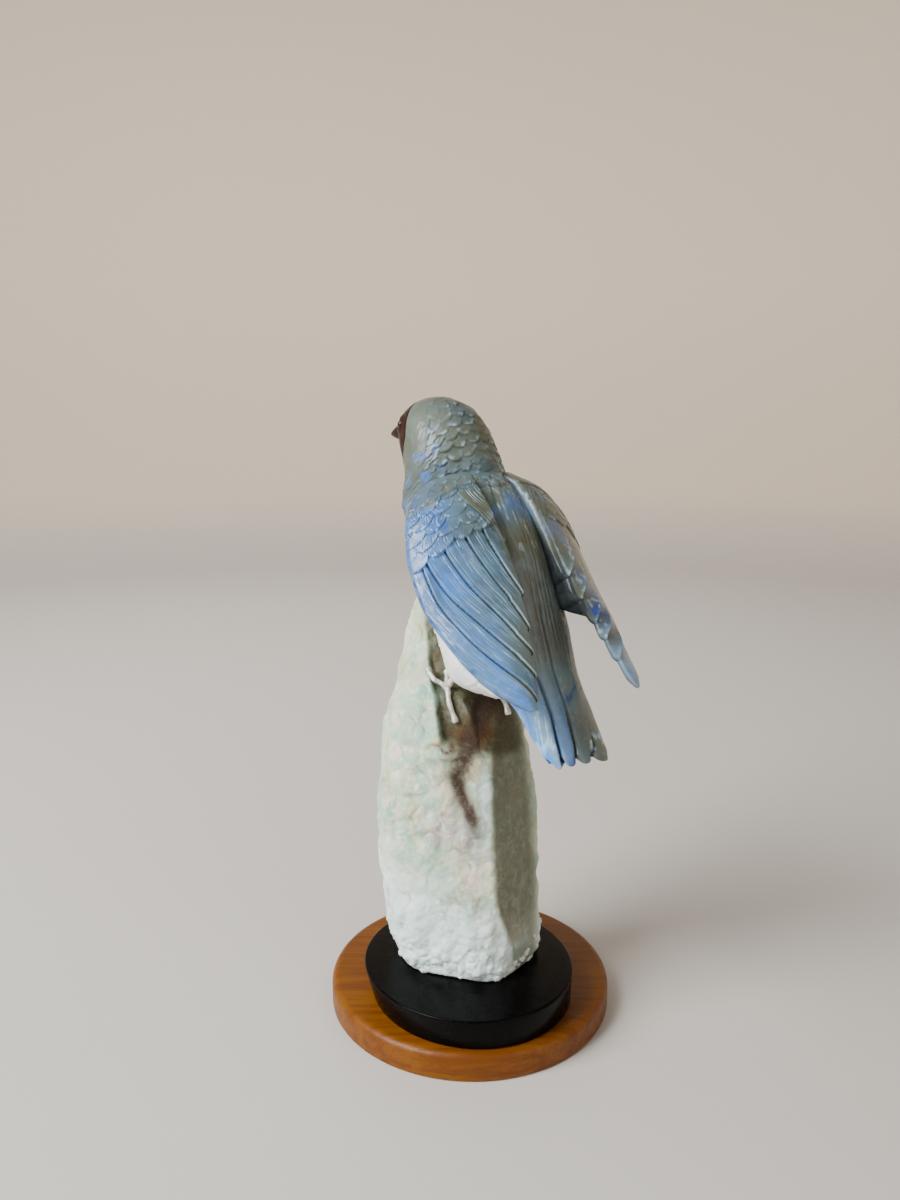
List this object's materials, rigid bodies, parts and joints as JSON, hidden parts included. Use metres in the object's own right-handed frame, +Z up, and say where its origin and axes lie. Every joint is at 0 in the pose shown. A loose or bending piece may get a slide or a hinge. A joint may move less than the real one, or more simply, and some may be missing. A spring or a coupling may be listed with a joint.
{
  "type": "carved stone songbird on a mineral base",
  "caption": "Songbird carved in blue-grey chalcedony, perched on rough mineral rock over a black stone plinth and a round wooden base.",
  "frame": {"origin": "centre of the wooden base's underside", "axes": "+Z up from the table, -Y towards the side with the bird's back and tail, +X to the right of that view"},
  "size_m": [0.1022, 0.1191, 0.2175],
  "materials": {
    "oak": "satin",
    "black_stone": "gloss",
    "rough_mineral": "matte",
    "chalcedony": "gloss",
    "white_stone": "satin",
    "jasper": "satin",
    "dark_stone": "gloss",
    "eye_black": "polished",
    "white_metal": "satin"
  },
  "bodies": {
    "root": {"wood_base": "oak", "black_plinth": "black_stone", "perch_rock": "rough_mineral", "back_and_head": "chalcedony", "belly": "white_stone", "left_wing": "chalcedony", "right_wing": "chalcedony", "face_mask": "jasper", "beak": "dark_stone", "left_eye": "eye_black", "right_eye": "eye_black", "left_leg": "white_metal", "right_leg": "white_metal"}
  },
  "joints": []
}
